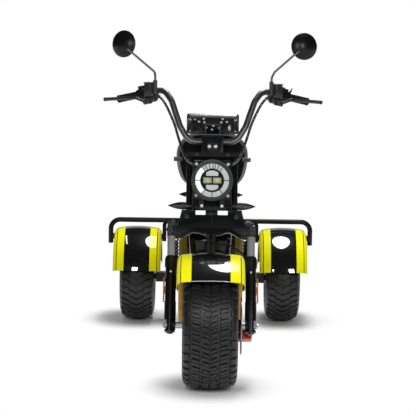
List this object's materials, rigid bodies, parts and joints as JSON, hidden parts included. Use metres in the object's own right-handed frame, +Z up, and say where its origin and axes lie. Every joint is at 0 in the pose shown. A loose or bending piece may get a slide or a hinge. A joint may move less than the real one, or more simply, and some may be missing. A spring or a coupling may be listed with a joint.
{
  "type": "electric three-wheeled scooter",
  "caption": "Electric three-wheeled scooter with a steered fat front wheel, high handlebar, tank-shaped body, long seat and a rear axle with round fenders.",
  "frame": {"origin": "on the floor, under the middle of the overall length and width", "axes": "+Z up, -Y the way the vehicle faces, +X the rider's left"},
  "size_m": [0.922, 1.7654, 1.3374],
  "materials": {
    "tyre": "matt charcoal rubber",
    "wheel_black": "satin black cast wheel",
    "disc_steel": "ground steel",
    "bridge_black": "satin black casting",
    "chrome": "polished",
    "fork_black": "gloss black",
    "amber": "moulded reflector",
    "bolt_steel": "zinc plated",
    "caliper_red": "gloss red casting",
    "yellow_paint": "gloss yellow with black centre and pinstripe",
    "frame_black": "satin black",
    "bar_black": "gloss black",
    "grip_rubber": "matt ribbed rubber",
    "plastic_black": "fine grained",
    "lever_black": "black anodised",
    "mirror": "silvered glass",
    "screen_glass": "dark window",
    "gloss_black": "gloss",
    "lamp_lens": "clear ribbed lens",
    "signal_lens": "smoked clear lens",
    "cable_black": "spiral wrapped",
    "tank_grey": "dark grey semi-gloss",
    "seat_leather": "black stitched covering",
    "board_rubber": "ribbed mat",
    "motor_grey": "cast alloy",
    "tail_red": "red lens"
  },
  "bodies": {
    "chassis": {"main_frame": "frame_black", "rear_frame": "frame_black", "belly_core": "gloss_black", "belly_covers": "yellow_paint", "tank": "tank_grey", "tank_fittings": "chrome", "seat": "seat_leather", "seat_base": "plastic_black", "foot_boards": "board_rubber", "axle_beam": "frame_black", "drive_motor": "motor_grey", "swingarm": "frame_black", "shock_absorbers": "frame_black", "rear_fenders": "yellow_paint", "fender_rack": "bar_black", "tail_lamp": "tail_red", "rear_signals": "signal_lens", "plate_holder": "plastic_black"},
    "steering_head": {"fork_bridge": "bridge_black", "fork_uprights": "fork_black", "steering_stem": "bolt_steel", "fork_stanchions": "chrome", "fork_sliders": "fork_black", "fork_reflectors": "amber", "front_axle": "bolt_steel", "front_caliper": "caliper_red", "front_fender": "yellow_paint", "fender_stays": "frame_black", "upper_clamp": "bridge_black", "handlebar_clamp": "bridge_black", "handlebar": "bar_black", "grips": "grip_rubber", "switch_housings": "plastic_black", "brake_cylinders": "plastic_black", "brake_levers": "lever_black", "mirrors": "plastic_black", "mirror_glass": "mirror", "dash": "plastic_black", "dash_screen": "screen_glass", "dash_bracket": "frame_black", "headlight_housing": "gloss_black", "headlight_lens": "lamp_lens", "headlight_bracket": "frame_black", "front_signals": "signal_lens", "control_cables": "cable_black"},
    "front_wheel": {"front_tyre": "tyre", "front_rim": "wheel_black", "front_disc": "disc_steel"},
    "rear_wheel_left": {"rear_tyre_left": "tyre", "rear_rim_left": "wheel_black"},
    "rear_wheel_right": {"rear_tyre_right": "tyre", "rear_rim_right": "wheel_black"}
  },
  "joints": [
    {"name": "steering", "type": "hinge", "parent": "chassis", "child": "steering_head", "pos_m": [0, -0.60681, 0.22246], "axis": [0, 0.4384, 0.8988], "range_deg": [-35, 35]},
    {"name": "front_wheel_spin", "type": "hinge", "parent": "steering_head", "child": "front_wheel", "pos_m": [0, -0.64276, 0.24], "axis": [1, 0, 0], "continuous": true},
    {"name": "rear_left_spin", "type": "hinge", "parent": "chassis", "child": "rear_wheel_left", "pos_m": [0.326, 0.65724, 0.193], "axis": [1, 0, 0], "continuous": true},
    {"name": "rear_right_spin", "type": "hinge", "parent": "chassis", "child": "rear_wheel_right", "pos_m": [-0.326, 0.65724, 0.193], "axis": [1, 0, 0], "continuous": true}
  ]
}
